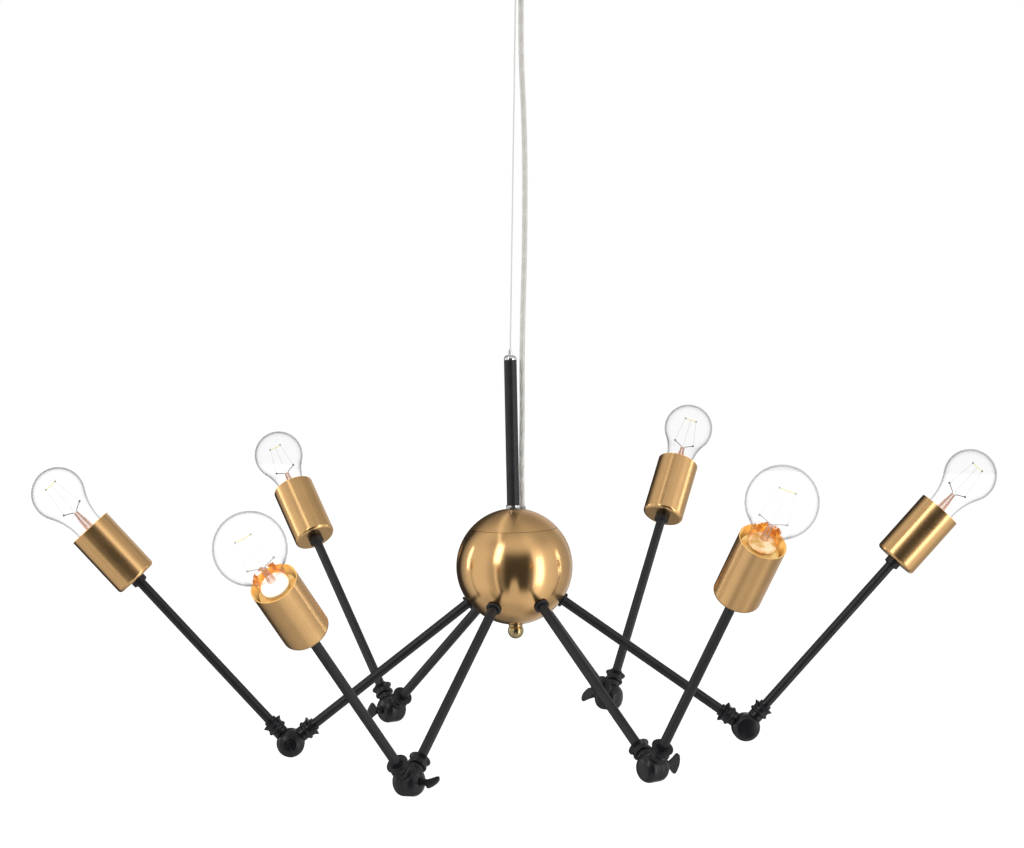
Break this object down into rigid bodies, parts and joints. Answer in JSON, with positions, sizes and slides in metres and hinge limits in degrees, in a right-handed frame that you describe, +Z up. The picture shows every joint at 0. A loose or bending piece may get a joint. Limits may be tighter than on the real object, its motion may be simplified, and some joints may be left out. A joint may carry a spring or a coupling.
{
  "type": "sputnik chandelier",
  "caption": "Hanging chandelier: brass ball on a black stem, with hand-set jointed black arms that end in brass cups and clear globe bulbs, on a thin wire from a ceiling canopy",
  "frame": {"origin": "on the ceiling, midway between the two fixing screws, on the line of the suspension wire", "axes": "+Z up, out of the lamp into the ceiling; +X to the right and -Y towards the viewer in the picture"},
  "size_m": [0.995, 0.8683, 0.8625],
  "materials": {
    "brass": "satin brass, fine brushing, lacquered",
    "black_coat": "satin black powder coat with a fine grain",
    "canopy_coat": "satin black powder coat",
    "chrome": "bright chrome plate",
    "zinc_steel": "bright zinc plate",
    "wire_steel": "fine steel wire rope",
    "cord_plastic": "clear sheath over two cores, greyish",
    "clear_plastic": "greyish clear plastic",
    "block_plastic": "off-white moulded plastic",
    "holder_plastic": "black moulded plastic",
    "base_metal": "nickel-coloured screw shell",
    "bulb_glass": "clear blown glass"
  },
  "bodies": {
    "root": {"ceiling_canopy": "canopy_coat", "canopy_bracket": "zinc_steel", "canopy_nipple": "zinc_steel", "terminal_block": "block_plastic", "wire_gripper": "chrome", "cord_gland": "clear_plastic", "suspension_wire": "wire_steel", "power_cord": "cord_plastic", "stem_cap": "chrome", "stem_tube": "black_coat", "stem_fixings": "chrome", "tie_rod": "zinc_steel", "sphere_cap": "brass", "sphere_bowl": "brass", "finial": "brass", "lower_rods": "black_coat", "arm_lock_nuts": "black_coat", "knuckle_inner_halves": "black_coat"},
    "arm_1": {"knuckle_outer_1": "black_coat", "upper_rod_1": "black_coat", "socket_cup_1": "brass", "lampholder_1": "holder_plastic"},
    "bulb_1": {"bulb_base_1": "base_metal", "bulb_glass_1": "bulb_glass"},
    "screw_1": {"thumb_screw_1": "black_coat"},
    "arm_2": {"knuckle_outer_2": "black_coat", "upper_rod_2": "black_coat", "socket_cup_2": "brass", "lampholder_2": "holder_plastic"},
    "bulb_2": {"bulb_base_2": "base_metal", "bulb_glass_2": "bulb_glass"},
    "screw_2": {"thumb_screw_2": "black_coat"},
    "arm_3": {"knuckle_outer_3": "black_coat", "upper_rod_3": "black_coat", "socket_cup_3": "brass", "lampholder_3": "holder_plastic"},
    "bulb_3": {"bulb_base_3": "base_metal", "bulb_glass_3": "bulb_glass"},
    "screw_3": {"thumb_screw_3": "black_coat"},
    "arm_4": {"knuckle_outer_4": "black_coat", "upper_rod_4": "black_coat", "socket_cup_4": "brass", "lampholder_4": "holder_plastic"},
    "bulb_4": {"bulb_base_4": "base_metal", "bulb_glass_4": "bulb_glass"},
    "screw_4": {"thumb_screw_4": "black_coat"},
    "arm_5": {"knuckle_outer_5": "black_coat", "upper_rod_5": "black_coat", "socket_cup_5": "brass", "lampholder_5": "holder_plastic"},
    "bulb_5": {"bulb_base_5": "base_metal", "bulb_glass_5": "bulb_glass"},
    "screw_5": {"thumb_screw_5": "black_coat"},
    "arm_6": {"knuckle_outer_6": "black_coat", "upper_rod_6": "black_coat", "socket_cup_6": "brass", "lampholder_6": "holder_plastic"},
    "bulb_6": {"bulb_base_6": "base_metal", "bulb_glass_6": "bulb_glass"},
    "screw_6": {"thumb_screw_6": "black_coat"}
  },
  "joints": [
    {"name": "knuckle_1", "type": "hinge", "parent": "root", "child": "arm_1", "pos_m": [0.25014, 0.01075, -0.82855], "axis": [-0.0591, 0.998, -0.0218], "range_deg": [-30.8, 133.2]},
    {"name": "screw_turn_1", "type": "hinge", "parent": "root", "child": "screw_1", "pos_m": [0.25014, 0.01075, -0.82855], "axis": [-0.0591, 0.998, -0.0218], "range_deg": [0, 180]},
    {"name": "bulb_turn_1", "type": "hinge", "parent": "arm_1", "child": "bulb_1", "pos_m": [0.42903, 0.02582, -0.62295], "axis": [0.6554, 0.0552, 0.7533], "range_deg": [0, 90]},
    {"name": "knuckle_2", "type": "hinge", "parent": "root", "child": "arm_2", "pos_m": [0.11492, 0.21349, -0.8341], "axis": [-0.8916, 0.4529, 0.0054], "range_deg": [-24, 140]},
    {"name": "screw_turn_2", "type": "hinge", "parent": "root", "child": "screw_2", "pos_m": [0.11492, 0.21349, -0.8341], "axis": [-0.8916, 0.4529, 0.0054], "range_deg": [0, 180]},
    {"name": "bulb_turn_2", "type": "hinge", "parent": "arm_2", "child": "bulb_2", "pos_m": [0.18798, 0.35469, -0.61223], "axis": [0.2677, 0.5173, 0.8129], "range_deg": [0, 90]},
    {"name": "knuckle_3", "type": "hinge", "parent": "root", "child": "arm_3", "pos_m": [-0.12458, 0.18774, -0.84657], "axis": [-0.8104, -0.5856, -0.0158], "range_deg": [-27.2, 136.8]},
    {"name": "screw_turn_3", "type": "hinge", "parent": "root", "child": "screw_3", "pos_m": [-0.12458, 0.18774, -0.84657], "axis": [-0.8104, -0.5856, -0.0158], "range_deg": [0, 180]},
    {"name": "bulb_turn_3", "type": "hinge", "parent": "arm_3", "child": "bulb_3", "pos_m": [-0.2339, 0.33353, -0.64335], "axis": [-0.4005, 0.5341, 0.7445], "range_deg": [0, 90]},
    {"name": "knuckle_4", "type": "hinge", "parent": "root", "child": "arm_4", "pos_m": [-0.22073, -0.01065, -0.84788], "axis": [0.0377, -0.9992, 0.0111], "range_deg": [-28.2, 135.8]},
    {"name": "screw_turn_4", "type": "hinge", "parent": "root", "child": "screw_4", "pos_m": [-0.22073, -0.01065, -0.84788], "axis": [0.0377, -0.9992, 0.0111], "range_deg": [0, 180]},
    {"name": "bulb_turn_4", "type": "hinge", "parent": "arm_4", "child": "bulb_4", "pos_m": [-0.40753, -0.01548, -0.64892], "axis": [-0.6844, -0.0177, 0.7289], "range_deg": [0, 90]},
    {"name": "knuckle_5", "type": "hinge", "parent": "root", "child": "arm_5", "pos_m": [-0.09217, -0.20634, -0.84706], "axis": [0.869, -0.4887, 0.0772], "range_deg": [-29.7, 134.3]},
    {"name": "screw_turn_5", "type": "hinge", "parent": "root", "child": "screw_5", "pos_m": [-0.09217, -0.20634, -0.84706], "axis": [0.869, -0.4887, 0.0772], "range_deg": [0, 180]},
    {"name": "bulb_turn_5", "type": "hinge", "parent": "arm_5", "child": "bulb_5", "pos_m": [-0.19923, -0.36613, -0.65339], "axis": [-0.3922, -0.5854, 0.7095], "range_deg": [0, 90]},
    {"name": "knuckle_6", "type": "hinge", "parent": "root", "child": "arm_6", "pos_m": [0.14355, -0.19877, -0.83145], "axis": [0.8437, 0.5345, 0.0506], "range_deg": [-26.2, 137.8]},
    {"name": "screw_turn_6", "type": "hinge", "parent": "root", "child": "screw_6", "pos_m": [0.14355, -0.19877, -0.83145], "axis": [0.8437, 0.5345, 0.0506], "range_deg": [0, 180]},
    {"name": "bulb_turn_6", "type": "hinge", "parent": "arm_6", "child": "bulb_6", "pos_m": [0.22265, -0.34419, -0.61443], "axis": [0.2898, -0.5328, 0.7951], "range_deg": [0, 90]}
  ]
}
